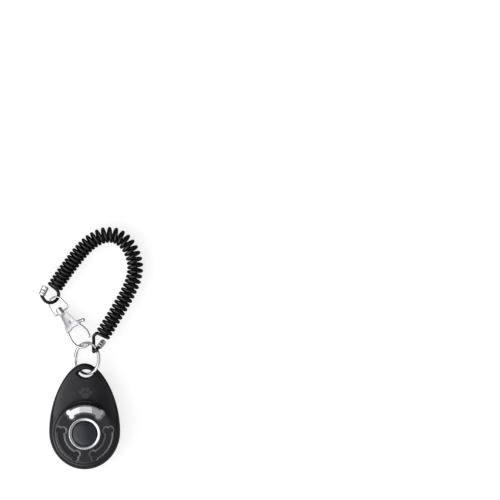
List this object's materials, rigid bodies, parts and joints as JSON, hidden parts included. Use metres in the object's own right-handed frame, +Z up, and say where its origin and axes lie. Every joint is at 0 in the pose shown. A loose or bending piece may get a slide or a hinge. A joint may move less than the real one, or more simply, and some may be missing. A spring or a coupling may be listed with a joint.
{
  "type": "clicker trainer",
  "caption": "Egg-shaped dog-training clicker with a round push button, on a split ring with a coiled wrist strap and a swivel snap hook.",
  "frame": {"origin": "on the flat of the case's back, under the middle of the case", "axes": "+Z up, the way the button faces; +Y towards the lanyard eye and the strap; +X to the right"},
  "size_m": [0.0638, 0.1482, 0.018],
  "materials": {
    "case_black": "moulded ABS, satin gloss",
    "button_grey": "moulded ABS, satin, blue-grey",
    "bezel_chrome": "satin chrome",
    "spring_steel": "rolled spring steel",
    "screw_steel": "zinc-plated steel",
    "ring_nickel": "nickel-plated spring steel wire",
    "cord_black": "glossy black TPU cord",
    "ferrule_metal": "nickel-plated crimped sleeve",
    "hook_nickel": "nickel-plated zinc die casting"
  },
  "bodies": {
    "case": {"front_shell": "case_black", "back_shell": "case_black", "bezel_ring": "bezel_chrome", "click_plate": "spring_steel", "plate_screws": "screw_steel", "case_screws": "screw_steel"},
    "button": {"button": "button_grey"},
    "tongue": {"click_tongue": "spring_steel"},
    "ring": {"split_ring": "ring_nickel"},
    "strap": {"cord_coil": "cord_black", "cord_loop_ring": "cord_black", "cord_loop_bail": "cord_black", "ferrule_ring": "ferrule_metal", "ferrule_bail": "ferrule_metal", "swivel_bail": "ring_nickel", "swivel_barrel": "hook_nickel", "swivel_rivet": "screw_steel"},
    "hook": {"hook_body": "hook_nickel", "gate_pin": "screw_steel", "gate_spring": "spring_steel"},
    "gate": {"hook_gate": "hook_nickel"}
  },
  "joints": [
    {"name": "button_press", "type": "slide", "parent": "case", "child": "button", "axis": [0, 0, -1], "range_m": [0, 0.0016], "stiffness_N_per_m": 2000, "springref_m": -0.0003},
    {"name": "tongue_flex", "type": "hinge", "parent": "case", "child": "tongue", "pos_m": [0, 0.002, 0.00985], "axis": [1, 0, 0], "range_deg": [0, 7.5]},
    {"name": "ring_swing", "type": "hinge", "parent": "case", "child": "ring", "pos_m": [0.0015, 0.02585, 0.0072], "axis": [0.766, 0, 0.6428], "range_deg": [-15, 28]},
    {"name": "strap_swing", "type": "hinge", "parent": "ring", "child": "strap", "pos_m": [0.0064, 0.04237, 0.01131], "axis": [0.7458, -0.2281, 0.6258], "range_deg": [-20, 0]},
    {"name": "hook_swivel", "type": "hinge", "parent": "strap", "child": "hook", "pos_m": [-0.0152, 0.0643, 0.00335], "axis": [0.5859, -0.8064, 0.0802], "range_deg": [-40, 0]},
    {"name": "gate_open", "type": "hinge", "parent": "hook", "child": "gate", "pos_m": [-0.00856, 0.05754, 0.0041], "axis": [0.0471, -0.0649, -0.9968], "range_deg": [0, 11], "stiffness_Nm_per_rad": 0.05, "springref_deg": -11.46}
  ],
  "couplings": [
    {"joint": "tongue_flex", "follows": "button_press", "rad_per_m": 80}
  ]
}
